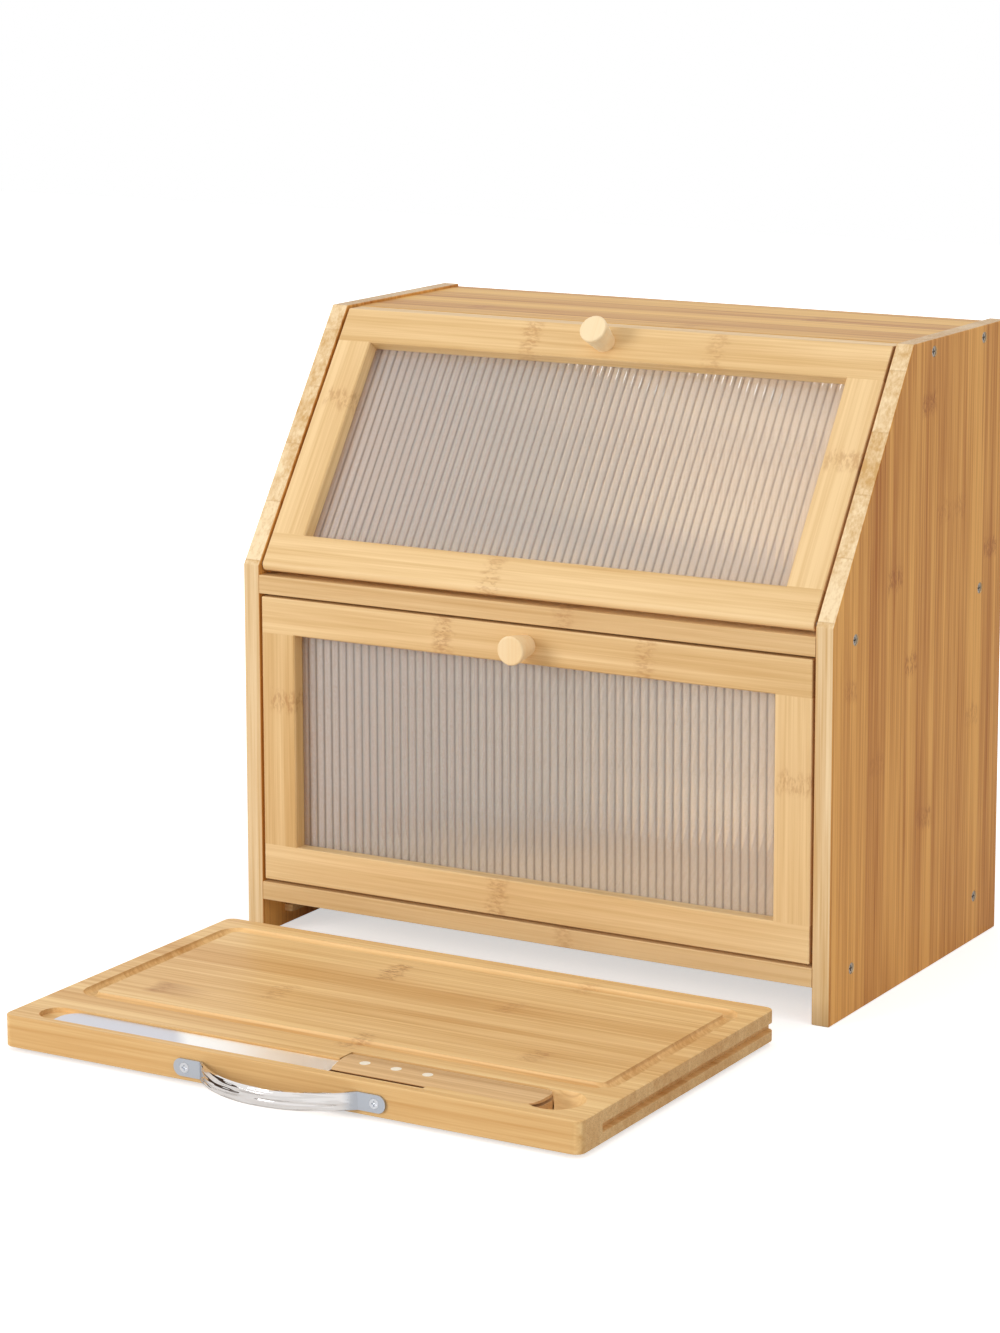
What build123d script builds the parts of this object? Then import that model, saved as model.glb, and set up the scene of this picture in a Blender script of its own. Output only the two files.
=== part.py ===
from build123d import *
import math
import os

# Bamboo bread box: two rooms behind flip-down reeded windows, over a cutting board on runners.
#
# X runs across the width, Y from front to back and Z up, with Z = 0 on the table. The pieces are
# worked out from the middle of the carcass's front edge, with the doors closed and the board
# pulled out. All are then moved along Y together, so that the origin lies on the table under the
# middle of the whole.

# ------------------------------------------------------------------ carcass, in millimetres
box_width = 400.0
box_depth = 240.0
side_height = 382.6
side_thickness = 11.3
slope_foot_height = 233.2  # the sides' front edge stands upright to here, then leans back
slope_setback = 104.0  # how far behind the front the slope ends, at the top of the sides
top_thickness = 11.5
top_sink = 1.7  # the top lies a little below the tops of the sides
shelf_thickness = 11.5
bay_height = 22.0  # clear height under the bottom shelf, where the board runs
lower_room_height = 182.3  # clear height between the two shelves
back_thickness = 5.0
arris_radius = 0.8  # every board has its sharp edges eased
overshoot = 1.0  # a bore or window is cut this far past a face it opens through
round_end_margin = 0.1  # a rounded end keeps a flat this far short of each side

vent_diameter = 10.0
vent_count = 3
vent_pitch = 90.0
vent_drop = 34.0  # from the board above a room to its row of air holes

# ------------------------------------------------------------------ doors
door_thickness = 12.0
door_side_gap = 1.7
door_back_gap = 0.8  # between a closed door and what it closes against
lower_door_bottom_gap = 2.1
lower_door_top_gap = 1.6
upper_door_bottom_gap = 2.5
rail_height = 22.5
stile_width = 23.5
upper_bottom_rail_height = 27.4  # at the front, from the nose's foot to the window
nose_radius = 4.0  # the upper door's bottom front edge is a round nose
rebate_width = 8.0
rebate_depth = 3.0
window_chamfer = 0.7

pane_clearance = 0.5
pane_seat = 0.1
pane_thickness = 2.4
flute_pitch = 5.5
flute_height = 0.7

pin_diameter = 3.5
pin_hold = 8.0  # how deep a hinge pin is set into the side
pin_reach = 12.0  # how deep it reaches into the door
pin_running_clearance = 0.05
pin_end_play = 1.0
lower_pivot_rise = 6.5
lower_pivot_inset = 5.0  # behind the door's front

dowel_diameter = 6.0
dowel_in_rail = 11.0
dowel_in_stile = 15.0
glue_clearance = 0.05

knob_base_diameter = 13.0
knob_face_diameter = 18.0
knob_length = 18.8
knob_edge_round = 1.2

strip_height = 12.0
strip_depth = 12.0
magnet_diameter = 8.0
magnet_thickness = 2.0
magnet_offset = 60.0  # each side of the middle

# ------------------------------------------------------------------ cutting board
board_width = 372.4
board_depth = 226.3
board_thickness = 18.5
board_lift = 2.4  # from the table to the board's underside
board_pull = 267.3  # how far the board's front stands before the carcass
board_corner_radius = 6.0

groove_inset_side = 15.7  # from the board's edge to the middle of the juice groove
groove_inset_back = 19.0
groove_inset_front = 56.3
groove_cutter_radius = 4.5
groove_depth = 3.5
groove_corner_radius = 9.0

runner_height = 4.3
runner_reach = 5.5  # how far the runner stands out of the side
runner_seat = 4.0  # how deep it is let into the side
runner_front = 24.0
runner_groove_depth = 4.2
runner_play_above = 0.3
runner_play_below = 0.4
runner_groove_rise = 6.0  # from the board's underside to the groove
runner_end_play = 0.5

# ------------------------------------------------------------------ knife
blade_thickness = 1.8
blade_width = 19.0
blade_length = 179.5
blade_sink = 1.1  # the blade lies this far below the board's top
blade_tip_x = -157.5
blade_middle_inset = 16.8  # from the board's front to the blade's middle line
blade_tip_radius = 11.0
blade_play = 1.0
tip_play = 13.0  # the slot's free end beyond the tip
grip_width = 28.0
grip_length = 130.0
grip_middle_inset = 25.3
grip_rake = 4.0  # the handle's front end is cut askew by this much
grip_butt_radius = 11.0
grip_play = 0.5
grip_proud = 0.7  # its crown stands this far above the board's top
grip_crown = 1.5
grip_lower_thickness = 8.5
grip_floor_gap = 0.3
tang_width = 15.0
tang_end_gap = 12.0
rivet_diameter = 6.0
rivet_pitch = 19.8
rivet_start = 17.0  # from the handle's front end to the first rivet
rivet_count = 3
scoop_width = 32.0
scoop_depth = 11.0
scoop_overlap = 11.0  # how far the finger scoop reaches under the handle's butt

# ------------------------------------------------------------------ board handle
strap_width = 10.0
strap_thickness = 1.4
strap_bow = 22.5  # how far the arch stands out
strap_span = 102.5  # between the feet, along the board's front
strap_foot_length = 17.0
strap_middle_rise = 7.8  # from the board's underside to the strap's middle line
strap_bend_radius = 1.5
strap_screw_spacing = 122.5

# ------------------------------------------------------------------ screws
side_screw_head = 6.8
side_screw_shank = 3.8
side_screw_length = 38.0
side_screw_sink = 0.6  # the head lies a little below the wood
side_screw_front_inset = 29.5
side_screw_back_inset = 33.5
top_screw_front_inset = 29.0  # behind the slope's top
back_screw_head = 6.0
back_screw_shank = 3.0
back_screw_length = 22.0
back_screw_count = 3
back_screw_edge = 30.0
pane_screw_head = 4.6
pane_screw_head_height = 1.4
pane_screw_shank = 2.2
pane_screw_length = 7.0
pane_screw_inset = 4.0  # beyond the window's edge
pane_screw_spread = 145.0
knob_screw_head = 7.5
knob_screw_shank = 3.6
knob_screw_length = 24.0
strap_screw_head = 5.8
strap_screw_shank = 3.0
strap_screw_length = 11.0
screw_clearance = 0.1
recess_share = 0.55  # the driver's cross spans this share of a head
recess_slot_share = 0.16
countersink_angle = 45.0
screw_tip_share = 1.2  # a screw's point is this many shank diameters long

# ------------------------------------------------------------------ places worked out from these
half_width = box_width / 2
inner_half_width = half_width - side_thickness
bottom_shelf_top = bay_height + shelf_thickness
middle_shelf_underside = bottom_shelf_top + lower_room_height
middle_shelf_top = middle_shelf_underside + shelf_thickness
top_surface = side_height - top_sink
top_underside = top_surface - top_thickness
shelf_depth = box_depth - back_thickness
slope_rise = side_height - slope_foot_height
slope_angle = math.atan2(slope_setback, slope_rise)
slope_sin = math.sin(slope_angle)
slope_cos = math.cos(slope_angle)

door_half_width = inner_half_width - door_side_gap
window_half_width = door_half_width - stile_width
rebate_floor = rebate_depth - door_thickness  # across the door, from its front

board_half_width = board_width / 2
board_front = -board_pull
board_back = board_front + board_depth
board_top = board_lift + board_thickness
blade_top = board_top - blade_sink
blade_floor = blade_top - blade_thickness
blade_y = board_front + blade_middle_inset
grip_y = board_front + grip_middle_inset
grip_start = blade_tip_x + blade_length
grip_end = grip_start + grip_length
strap_z = board_lift + strap_middle_rise

# A door is worked out in its own axes: X across, Y up the door and Z out of its front face.
lower_door_foot = bottom_shelf_top + lower_door_bottom_gap
lower_door_plane = Plane(origin=(0, 0, lower_door_foot), x_dir=(1, 0, 0), z_dir=(0, -1, 0))
upper_door_plane = Plane(
    origin=(0, 0, slope_foot_height), x_dir=(1, 0, 0), z_dir=(0, -slope_cos, slope_sin)
)

# The origin lies under the middle of the whole, from the handle's arch to the back.
middle_y = (box_depth + board_front - strap_bow - strap_thickness / 2) / 2

pieces = {}


# ------------------------------------------------------------------ helpers
def block(low, high):
    """A box between two corners."""
    size = [b - a for a, b in zip(low, high)]
    middle = [(a + b) / 2 for a, b in zip(low, high)]
    return Pos(*middle) * Box(*size)


def rod(start, direction, diameter, length):
    """A round bar from a point, along a direction."""
    return Plane(origin=start, z_dir=direction) * Cylinder(
        diameter / 2, length, align=(Align.CENTER, Align.CENTER, Align.MIN)
    )


def group(solids):
    """Separate solids that share one node."""
    return Compound([solid for part in solids for solid in part.solids()])


def turned(points):
    """A round solid about Z, from the (radius, height) corners of its half section."""
    return revolve(Plane.XZ * make_face(Polyline(*points, close=True)), Axis.Z)


def cut(solid, cutters):
    """The solid less every cutter."""
    for cutter in cutters:
        solid = solid - cutter
    return solid


def countersunk_screw(head, shank, length, growth=0.0):
    """A flat-headed screw with its head up at the origin, or its bore where growth is more than 0."""
    head_radius = head / 2 + growth
    shank_radius = shank / 2 + growth
    cone = (head_radius - shank_radius) / math.tan(math.radians(countersink_angle))
    tip = shank * screw_tip_share
    screw = turned(
        [
            (0, 0),
            (head_radius, 0),
            (shank_radius, -cone),
            (shank_radius, tip - length - growth),
            (0, -length - growth),
        ]
    )
    if growth:
        return screw
    span = head * recess_share
    slot = head * recess_slot_share
    for size in ((span, slot), (slot, span)):
        screw = screw - Box(*size, 2 * slot)
    return screw


def sunk_bore(head, shank, length, sink):
    """The bore and countersink of a flat-headed screw whose head lies below the surface."""
    bore = countersunk_screw(head, shank, length, screw_clearance)
    mouth = Cylinder(
        head / 2 + screw_clearance, sink, align=(Align.CENTER, Align.CENTER, Align.MIN)
    )
    return bore + mouth


def pan_screw(head, head_height, shank, length):
    """A round-headed screw whose head sits above the origin."""
    return turned(
        [
            (0, head_height),
            (head / 2 - head_height / 2, head_height),
            (head / 2, head_height / 2),
            (head / 2, 0),
            (shank / 2, 0),
            (shank / 2, shank - length),
            (0, -length),
        ]
    )


def eased_board(low, high, edges_of):
    """A board between two corners, with the edges of the named faces eased."""
    board = block(low, high)
    return fillet(edges_of(board), arris_radius)


# ------------------------------------------------------------------ screws through the sides
shelf_levels = (
    bay_height + shelf_thickness / 2,
    middle_shelf_underside + shelf_thickness / 2,
)
side_screw_places = [
    (y, z)
    for z in shelf_levels
    for y in (side_screw_front_inset, box_depth - side_screw_back_inset)
]
side_screw_places += [
    (y, top_underside + top_thickness / 2)
    for y in (slope_setback + top_screw_front_inset, box_depth - side_screw_back_inset)
]


def side_screw_planes(side):
    """Where the screws enter one side, with Z pointing out of the box."""
    outside = side * (half_width - side_screw_sink)
    return [Plane(origin=(outside, y, z), z_dir=(side, 0, 0)) for y, z in side_screw_places]


side_screw_bore = sunk_bore(
    side_screw_head, side_screw_shank, side_screw_length, 2 * side_screw_sink
)
all_side_bores = [
    plane * side_screw_bore for side in (-1, 1) for plane in side_screw_planes(side)
]
for side_name, side in (("left", -1), ("right", 1)):
    pieces["side_screws_" + side_name] = group(
        plane * countersunk_screw(side_screw_head, side_screw_shank, side_screw_length)
        for plane in side_screw_planes(side)
    )

# ------------------------------------------------------------------ hinge pins
nose_reach = nose_radius / math.tan((math.pi / 2 - slope_angle) / 2)
upper_foot_height = middle_shelf_top + upper_door_bottom_gap
upper_front_foot = (upper_foot_height - slope_foot_height) / slope_cos
pivots = {
    "upper": upper_door_plane.from_local_coords((0, upper_front_foot + nose_reach, -nose_radius)),
    "lower": lower_door_plane.from_local_coords((0, lower_pivot_rise, -lower_pivot_inset)),
}
pin_length = pin_hold + door_side_gap + pin_reach


def pin_at(pivot, side, diameter, extra):
    """A pin across the gap between a side and a door, or its bore, longer by extra each way."""
    start = Vector(side * (inner_half_width + pin_hold + extra), pivot.Y, pivot.Z)
    return rod(start, (-side, 0, 0), diameter, pin_length + 2 * extra)


pieces["hinge_pins"] = group(
    pin_at(pivot, side, pin_diameter, 0) for pivot in pivots.values() for side in (-1, 1)
)
pin_bores = [
    pin_at(pivot, side, pin_diameter + 2 * pin_running_clearance, pin_end_play)
    for pivot in pivots.values()
    for side in (-1, 1)
]

# ------------------------------------------------------------------ sides and runners
runner_bottom = board_lift + runner_groove_rise + runner_play_below
runner_top = runner_bottom + runner_height
side_outline = [
    (0, 0),
    (0, slope_foot_height),
    (slope_setback, side_height),
    (box_depth, side_height),
    (box_depth, 0),
]
for side_name, side in (("left", -1), ("right", 1)):
    outer = side * half_width
    panel = extrude(
        Plane(origin=(outer, 0, 0), x_dir=(0, 1, 0), z_dir=(1, 0, 0))
        * make_face(Polyline(*side_outline, close=True)),
        amount=-side * side_thickness,
    )
    panel = fillet(panel.edges(), arris_radius)
    inner = side * inner_half_width
    runner = block(
        (min(inner - side * runner_reach, inner + side * runner_seat), runner_front, runner_bottom),
        (max(inner - side * runner_reach, inner + side * runner_seat), shelf_depth, runner_top),
    )
    pieces["side_panel_" + side_name] = cut(panel, [runner, *all_side_bores, *pin_bores])
    tip_edges = runner.edges().filter_by(Axis.Z).group_by(Axis.Y)[0]
    inside_tip = tip_edges.sort_by(Axis.X)[0 if side > 0 else -1]
    pieces["board_runner_" + side_name] = fillet(inside_tip, runner_reach / 2)

# ------------------------------------------------------------------ shelves, top and back
def front_edges(board):
    """The long edges of a board's front."""
    return board.edges().filter_by(Axis.X).group_by(Axis.Y)[0]


for name, underside in (("bottom_shelf", bay_height), ("middle_shelf", middle_shelf_underside)):
    shelf = eased_board(
        (-inner_half_width, 0, underside),
        (inner_half_width, shelf_depth, underside + shelf_thickness),
        front_edges,
    )
    pieces[name] = shelf

# The top's front edge is bevelled to lie along the closed upper door's back.
door_back_line = door_thickness + door_back_gap


def behind_door(height):
    """How far back the line behind the closed upper door lies, at a height."""
    along = (height - slope_foot_height + door_back_line * slope_sin) / slope_cos
    return along * slope_sin + door_back_line * slope_cos


top_outline = [
    (behind_door(top_surface), top_surface),
    (box_depth, top_surface),
    (box_depth, top_underside),
    (behind_door(top_underside), top_underside),
]
pieces["top_panel"] = extrude(
    Plane.YZ * make_face(Polyline(*top_outline, close=True)), amount=inner_half_width, both=True
)

vents = [
    rod(
        ((index - (vent_count - 1) / 2) * vent_pitch, shelf_depth - overshoot, level - vent_drop),
        (0, 1, 0),
        vent_diameter,
        back_thickness + 2 * overshoot,
    )
    for level in (middle_shelf_underside, top_underside)
    for index in range(vent_count)
]
back = block(
    (-inner_half_width, shelf_depth, bay_height), (inner_half_width, box_depth, top_underside)
)
back_screw_step = 2 * (inner_half_width - back_screw_edge) / (back_screw_count - 1)
back_screw_planes = [
    Plane(
        origin=(back_screw_edge - inner_half_width + index * back_screw_step, box_depth, level),
        z_dir=(0, 1, 0),
    )
    for level in shelf_levels
    for index in range(back_screw_count)
]
back_bores = [
    plane * countersunk_screw(back_screw_head, back_screw_shank, back_screw_length, screw_clearance)
    for plane in back_screw_planes
]
pieces["back_screws"] = group(
    plane * countersunk_screw(back_screw_head, back_screw_shank, back_screw_length)
    for plane in back_screw_planes
)
pieces["back_panel"] = cut(back, [*vents, *back_bores])
for name in ("bottom_shelf", "middle_shelf", "top_panel"):
    pieces[name] = cut(pieces[name], [*all_side_bores, *back_bores])

# ------------------------------------------------------------------ stop strip and magnets
strip_middle = middle_shelf_underside - strip_height / 2
strip = block(
    (-inner_half_width, door_back_line, middle_shelf_underside - strip_height),
    (inner_half_width, door_back_line + strip_depth, middle_shelf_underside),
)
magnet_heights = {  # up each door
    "upper": (top_underside + top_thickness / 2 - slope_foot_height + door_back_line * slope_sin)
    / slope_cos,
    "lower": strip_middle - lower_door_foot,
}
door_planes = {"upper": upper_door_plane, "lower": lower_door_plane}


def disc_at(door, x, front, growth):
    """A disc, or its seat, set into a face behind a door, at a depth behind the door's front."""
    start = door_planes[door].from_local_coords((x, magnet_heights[door], -front))
    into = door_planes[door].z_dir * -1
    return rod(start, into, magnet_diameter + 2 * growth, magnet_thickness + growth)


disc_places = [(door, x) for door in door_planes for x in (-magnet_offset, magnet_offset)]
magnet_seats = [disc_at(door, x, door_back_line, glue_clearance) for door, x in disc_places]
pieces["door_magnets"] = group(disc_at(door, x, door_back_line, 0) for door, x in disc_places)
pieces["top_panel"] = cut(pieces["top_panel"], magnet_seats)
pieces["door_stop_strip"] = cut(strip, magnet_seats)

# ------------------------------------------------------------------ doors
upper_front_top = (top_surface - slope_foot_height) / slope_cos
cut_back_shift = door_thickness * slope_sin / slope_cos  # a level cut climbs this far to the back
lower_door_height = lower_room_height - lower_door_bottom_gap - lower_door_top_gap

door_outlines = {  # corners in (up the door, out of its face), each with its edge radius
    "upper": [
        (upper_front_foot, 0, nose_radius),
        (upper_front_top, 0, arris_radius),
        (upper_front_top + cut_back_shift, -door_thickness, arris_radius),
        (upper_front_foot + cut_back_shift, -door_thickness, arris_radius),
    ],
    "lower": [
        (0, 0, arris_radius),
        (lower_door_height, 0, arris_radius),
        (lower_door_height, -door_thickness, arris_radius),
        (0, -door_thickness, arris_radius),
    ],
}
windows = {  # from and to, up the door
    "upper": (upper_front_foot + upper_bottom_rail_height, upper_front_top - rail_height),
    "lower": (rail_height, lower_door_height - rail_height),
}


def door_blank(outline):
    """The whole door as one board, with all its edges eased."""
    path = FilletPolyline(
        *[(up, out) for up, out, _ in outline], radius=[edge for _, _, edge in outline], close=True
    )
    blank = extrude(Plane.YZ * make_face(path), amount=door_half_width, both=True)
    ends = blank.faces().filter_by(Axis.X)
    return fillet(ends.edges(), arris_radius)


def window_cuts(low, high):
    """What a door's window takes away: the light, its chamfer and the pane's rebate behind."""
    middle = (low + high) / 2
    width = 2 * window_half_width
    height = high - low
    light = block((-window_half_width, low, -2 * door_thickness), (window_half_width, high, overshoot))
    chamfer = loft(
        [
            Pos(0, middle, 0) * Rectangle(width + 2 * window_chamfer, height + 2 * window_chamfer),
            Pos(0, middle, -window_chamfer) * Rectangle(width, height),
        ]
    )
    rebate = block(
        (-window_half_width - rebate_width, low - rebate_width, -2 * door_thickness),
        (window_half_width + rebate_width, high + rebate_width, rebate_floor),
    )
    return [light, chamfer, rebate]


def reeded_pane(low, high):
    """A clear pane, flat behind and with round flutes up its front."""
    count = int(2 * (window_half_width + rebate_width - pane_clearance) / flute_pitch)
    half = count * flute_pitch / 2
    crest = rebate_floor - pane_seat
    valley = crest - flute_height
    behind = crest - pane_thickness
    edges = []
    for index in range(count):
        left = index * flute_pitch - half
        edges.append(
            ThreePointArc(
                (left, valley), (left + flute_pitch / 2, crest), (left + flute_pitch, valley)
            )
        )
    edges.append(Polyline((half, valley), (half, behind), (-half, behind), (-half, valley)))
    section = Plane(origin=(0, 0, 0), x_dir=(1, 0, 0), z_dir=(0, -1, 0)) * make_face(edges)
    length = high - low + 2 * (rebate_width - pane_clearance)
    foot = low - rebate_width + pane_clearance
    return Pos(0, foot, 0) * extrude(section, amount=-length)


def door_zone(x_low, x_high, low, high):
    """The stretch of a door that becomes one rail or stile."""
    return block((x_low, low, -2 * door_thickness), (x_high, high, door_thickness))


def knob():
    """A turned knob, wider at its face, standing on the origin."""
    base = knob_base_diameter / 2
    face = knob_face_diameter / 2
    body = turned([(0, 0), (base, 0), (face, knob_length), (0, knob_length)])
    rim = body.edges().filter_by(GeomType.CIRCLE).sort_by(Axis.Z)[-1]
    return fillet(rim, knob_edge_round)


for door, plane in door_planes.items():
    low, high = windows[door]
    top = max(up for up, _, _ in door_outlines[door]) + overshoot
    foot = min(up for up, _, _ in door_outlines[door]) - overshoot
    frame = cut(door_blank(door_outlines[door]), window_cuts(low, high))

    corners = [(side, level, turn) for side in (-1, 1) for level, turn in ((low, 1), (high, -1))]
    dowel_x = door_half_width - stile_width / 2
    dowel_length = dowel_in_rail + dowel_in_stile

    def corner_dowels(growth):
        """The dowels across the joints of rails and stiles, or their bores."""
        return [
            rod(
                (side * dowel_x, level - turn * (dowel_in_rail + growth), -door_thickness / 2),
                (0, turn, 0),
                dowel_diameter + 2 * growth,
                dowel_length + 2 * growth,
            )
            for side, level, turn in corners
        ]

    knob_height = high + rail_height / 2
    knob_screw_plane = Plane(origin=(0, knob_height, -door_thickness), z_dir=(0, 0, -1))
    knob_bore = knob_screw_plane * countersunk_screw(
        knob_screw_head, knob_screw_shank, knob_screw_length, screw_clearance
    )
    pane_screw_planes = [
        Plane(origin=(x, level, rebate_floor - pane_seat - pane_thickness), z_dir=(0, 0, -1))
        for x in (-pane_screw_spread, 0, pane_screw_spread)
        for level in (low - pane_screw_inset, high + pane_screw_inset)
    ]
    pane_bores = [
        rod(
            at.from_local_coords((0, 0, overshoot)),
            (0, 0, 1),
            pane_screw_shank + 2 * screw_clearance,
            pane_screw_length + overshoot + screw_clearance,
        )
        for at in pane_screw_planes
    ]
    strikers = [
        rod(
            (x, magnet_heights[door], -door_thickness),
            (0, 0, 1),
            magnet_diameter,
            magnet_thickness,
        )
        for x in (-magnet_offset, magnet_offset)
    ]
    striker_seats = [
        rod(
            (x, magnet_heights[door], -door_thickness),
            (0, 0, 1),
            magnet_diameter + 2 * glue_clearance,
            magnet_thickness + glue_clearance,
        )
        for x in (-magnet_offset, magnet_offset)
    ]
    pin_cuts = [plane.to_local_coords(bore) for bore in pin_bores]
    frame = cut(
        frame, [*corner_dowels(glue_clearance), knob_bore, *pane_bores, *striker_seats, *pin_cuts]
    )

    local = {
        "top_rail": frame & door_zone(-half_width, half_width, high, top),
        "bottom_rail": frame & door_zone(-half_width, half_width, foot, low),
        "left_stile": frame & door_zone(-half_width, 0, low, high),
        "right_stile": frame & door_zone(0, half_width, low, high),
        "pane": cut(reeded_pane(low, high), pane_bores),
        "pane_screws": group(
            at * pan_screw(
                pane_screw_head, pane_screw_head_height, pane_screw_shank, pane_screw_length
            )
            for at in pane_screw_planes
        ),
        "dowels": group(corner_dowels(0)),
        "knob": Pos(0, knob_height, 0) * knob() - knob_bore,
        "knob_screw": knob_screw_plane
        * countersunk_screw(knob_screw_head, knob_screw_shank, knob_screw_length),
        "striker_discs": group(strikers),
    }
    for name, shape in local.items():
        pieces[door + "_door_" + name] = plane * shape

# ------------------------------------------------------------------ cutting board
board = block(
    (-board_half_width, board_front, board_lift), (board_half_width, board_back, board_top)
)
board = fillet(board.edges().filter_by(Axis.Z), board_corner_radius)
board = fillet(board.faces().filter_by(Axis.Z).edges(), arris_radius)

groove_half_width = board_half_width - groove_inset_side
groove_path = FilletPolyline(
    (-groove_half_width, board_front + groove_inset_front),
    (groove_half_width, board_front + groove_inset_front),
    (groove_half_width, board_back - groove_inset_back),
    (-groove_half_width, board_back - groove_inset_back),
    radius=groove_corner_radius,
    close=True,
)
cutter_height = board_top + groove_cutter_radius - groove_depth
groove_path = Pos(0, 0, cutter_height) * groove_path
cutter_section = Plane(origin=groove_path @ 0, z_dir=groove_path % 0) * Circle(groove_cutter_radius)
board = board - sweep(cutter_section, path=groove_path)

# The slot: a round-ended trench for the blade, a deeper one for the handle, and a finger scoop.
slot_left = blade_tip_x - tip_play
slot_half = blade_width / 2 + blade_play
blade_slot = block(
    (slot_left, blade_y - slot_half, blade_floor),
    (grip_start + grip_length / 2, blade_y + slot_half, board_top + overshoot),
)
slot_end_edges = blade_slot.edges().filter_by(Axis.Z).group_by(Axis.X)[0]
blade_slot = fillet(slot_end_edges, slot_half - round_end_margin)
grip_bottom = blade_floor - grip_lower_thickness
grip_slot_half = grip_width / 2 + grip_play
grip_slot = block(
    (grip_start - grip_play, grip_y - grip_slot_half, grip_bottom - grip_floor_gap),
    (grip_end + grip_play, grip_y + grip_slot_half, board_top + overshoot),
)
grip_slot = fillet(grip_slot.edges().filter_by(Axis.Z).group_by(Axis.X)[-1], grip_butt_radius)
scoop_radius = ((scoop_width / 2) ** 2 + scoop_depth**2) / (2 * scoop_depth)
scoop_x = grip_end + grip_play - scoop_overlap + scoop_width / 2
scoop = Pos(scoop_x, grip_y, board_top - scoop_depth + scoop_radius) * Sphere(scoop_radius)
board = cut(board, [blade_slot, grip_slot, scoop])

runner_groove_bottom = board_lift + runner_groove_rise
runner_groove_top = runner_top + runner_play_above
for side in (-1, 1):
    outside = side * (board_half_width + overshoot)
    inside = side * (board_half_width - runner_groove_depth)
    board = board - block(
        (min(outside, inside), board_front + runner_front - runner_end_play, runner_groove_bottom),
        (max(outside, inside), board_back + overshoot, runner_groove_top),
    )

strap_screw_planes = [
    Plane(
        origin=(x, board_front - strap_thickness, strap_z),
        z_dir=(0, -1, 0),
    )
    for x in (-strap_screw_spacing / 2, strap_screw_spacing / 2)
]
strap_bores = [
    at * countersunk_screw(strap_screw_head, strap_screw_shank, strap_screw_length, screw_clearance)
    for at in strap_screw_planes
]
pieces["cutting_board"] = cut(board, strap_bores)
pieces["board_handle_screws"] = group(
    at * countersunk_screw(strap_screw_head, strap_screw_shank, strap_screw_length)
    for at in strap_screw_planes
)

# ------------------------------------------------------------------ board handle
# The strap's arch is a stretch of a hoop that crosses the board's front at the feet.
strap_half_span = strap_span / 2
hoop_radius = (strap_half_span**2 + strap_bow**2) / (2 * strap_bow)
hoop_y = board_front - strap_bow + hoop_radius
hoop = Circle(hoop_radius + strap_thickness / 2) - Circle(hoop_radius - strap_thickness / 2)
hoop = Pos(0, hoop_y) * hoop
before_board = Pos(0, board_front - hoop_radius) * Rectangle(3 * hoop_radius, 2 * hoop_radius)
arch = extrude(Pos(0, 0, strap_z - strap_width / 2) * (hoop & before_board), amount=strap_width)
strap = arch
for side in (-1, 1):
    near = side * (strap_half_span - strap_thickness / 2)
    far = side * (strap_half_span + strap_foot_length)
    foot_plate = block(
        (min(near, far), board_front - strap_thickness, strap_z - strap_width / 2),
        (max(near, far), board_front, strap_z + strap_width / 2),
    )
    end_edges = foot_plate.edges().filter_by(Axis.Y).group_by(Axis.X)[0 if side < 0 else -1]
    strap = strap + fillet(end_edges, strap_width / 2 - round_end_margin)
pieces["board_handle"] = cut(strap, strap_bores)

# ------------------------------------------------------------------ knife
blade_low = blade_y - blade_width / 2
blade_high = blade_y + blade_width / 2
grip_low = grip_y - grip_width / 2
grip_high = grip_y + grip_width / 2
tang_low = grip_y - tang_width / 2
tang_high = grip_y + tang_width / 2
tang_end = grip_end - tang_end_gap
blade_outline = [
    (blade_tip_x, blade_low, 2 * arris_radius),
    (grip_start + grip_rake, blade_low, arris_radius),
    (grip_start + grip_rake, tang_low, arris_radius),
    (tang_end, tang_low, arris_radius),
    (tang_end, tang_high, arris_radius),
    (grip_start + grip_rake, tang_high, arris_radius),
    (grip_start + grip_rake, blade_high, arris_radius),
    (blade_tip_x, blade_high, blade_tip_radius),
]
rivets = [
    rod(
        (grip_start + rivet_start + index * rivet_pitch, grip_y, grip_bottom),
        (0, 0, 1),
        rivet_diameter,
        board_top + grip_proud - grip_bottom,
    )
    for index in range(rivet_count)
]
pieces["knife_rivets"] = group(rivets)
blade_path = FilletPolyline(
    *[(x, y) for x, y, _ in blade_outline], radius=[edge for _, _, edge in blade_outline], close=True
)
blade = Pos(0, 0, blade_floor) * extrude(make_face(blade_path), amount=blade_thickness)
pieces["knife_blade"] = cut(blade, rivets)

grip_outline = [
    (grip_start, grip_high, 2 * arris_radius),
    (grip_end, grip_high, grip_butt_radius),
    (grip_end, grip_low, grip_butt_radius),
    (grip_start + grip_rake, grip_low, 2 * arris_radius),
]
grip_path = FilletPolyline(
    *[(x, y) for x, y, _ in grip_outline], radius=[edge for _, _, edge in grip_outline], close=True
)
grip_face = make_face(grip_path)
crown_top = board_top + grip_proud
crown_radius = ((grip_width / 2) ** 2 + grip_crown**2) / (2 * grip_crown)
upper_scale = Pos(0, 0, blade_top) * extrude(grip_face, amount=crown_top - blade_top)
crown = rod(
    (grip_start - overshoot, grip_y, crown_top - crown_radius),
    (1, 0, 0),
    2 * crown_radius,
    grip_length + 2 * overshoot,
)
pieces["knife_upper_scale"] = cut(upper_scale & crown, rivets)
lower_scale = Pos(0, 0, grip_bottom) * extrude(grip_face, amount=grip_lower_thickness)
lower_scale = fillet(lower_scale.faces().sort_by(Axis.Z)[0].edges(), 2 * arris_radius)
pieces["knife_lower_scale"] = cut(lower_scale, rivets)

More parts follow.
